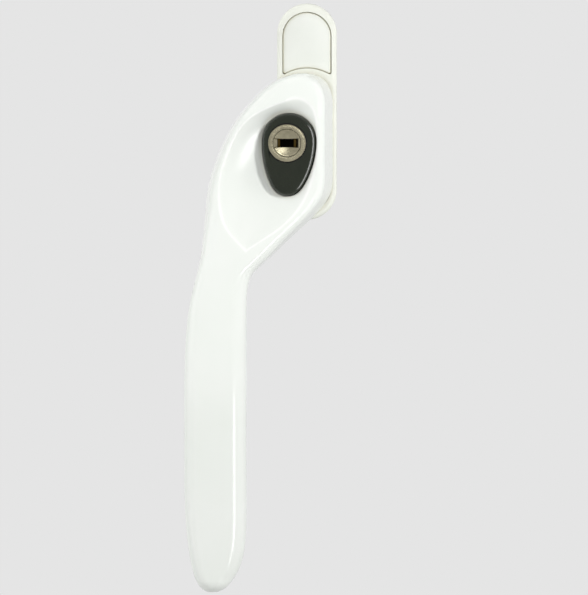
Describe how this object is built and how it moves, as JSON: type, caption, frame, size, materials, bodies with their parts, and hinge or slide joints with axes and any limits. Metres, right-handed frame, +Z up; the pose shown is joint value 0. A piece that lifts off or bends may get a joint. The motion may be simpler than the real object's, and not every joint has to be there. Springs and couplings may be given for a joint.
{
  "type": "locking window handle",
  "caption": "Cranked window handle with a quarter-turn lever, an obround screw base and a push-button key lock.",
  "frame": {"origin": "spindle axis at the base plate's back face, where it lies against the window", "axes": "+Y into the window along the spindle, +Z up along the base, +X to the right seen from the room"},
  "size_m": [0.0418, 0.0691, 0.1614],
  "materials": {
    "white_paint": "smooth white powder paint",
    "white_plastic": "white moulded plastic",
    "black_plastic": "glossy black moulded plastic",
    "nickel": "satin nickel plate",
    "zinc_steel": "bright zinc plated steel",
    "brass": "stamped brass",
    "nylon": "natural nylon"
  },
  "bodies": {
    "base": {"base_plate": "white_paint", "screw_cover_upper": "white_plastic", "screw_cover_lower": "white_plastic", "fixing_screws": "zinc_steel", "spindle_bush": "nylon"},
    "lever": {"lever": "white_paint", "spindle": "zinc_steel", "retaining_ring": "zinc_steel", "spring_washer": "zinc_steel", "lock_plate": "zinc_steel"},
    "button": {"push_button": "black_plastic", "lock_barrel": "nickel", "barrel_clip": "zinc_steel", "return_spring": "zinc_steel"},
    "plug": {"key_plug": "nickel", "wafers": "brass", "key_cam": "zinc_steel", "locking_bolt": "zinc_steel"}
  },
  "joints": [
    {"name": "lever_turn", "type": "hinge", "parent": "base", "child": "lever", "pos_m": [0, 0, 0], "axis": [0, 1, 0], "range_deg": [0, 90]},
    {"name": "button_press", "type": "slide", "parent": "lever", "child": "button", "axis": [0, 1, 0], "range_m": [0, 0.003], "stiffness_N_per_m": 900, "springref_m": -0.003, "deforming": ["return_spring"]},
    {"name": "key_turn", "type": "hinge", "parent": "button", "child": "plug", "pos_m": [-0.0055, -0.026, -0.0088], "axis": [0, 1, 0], "range_deg": [0, 90]}
  ]
}
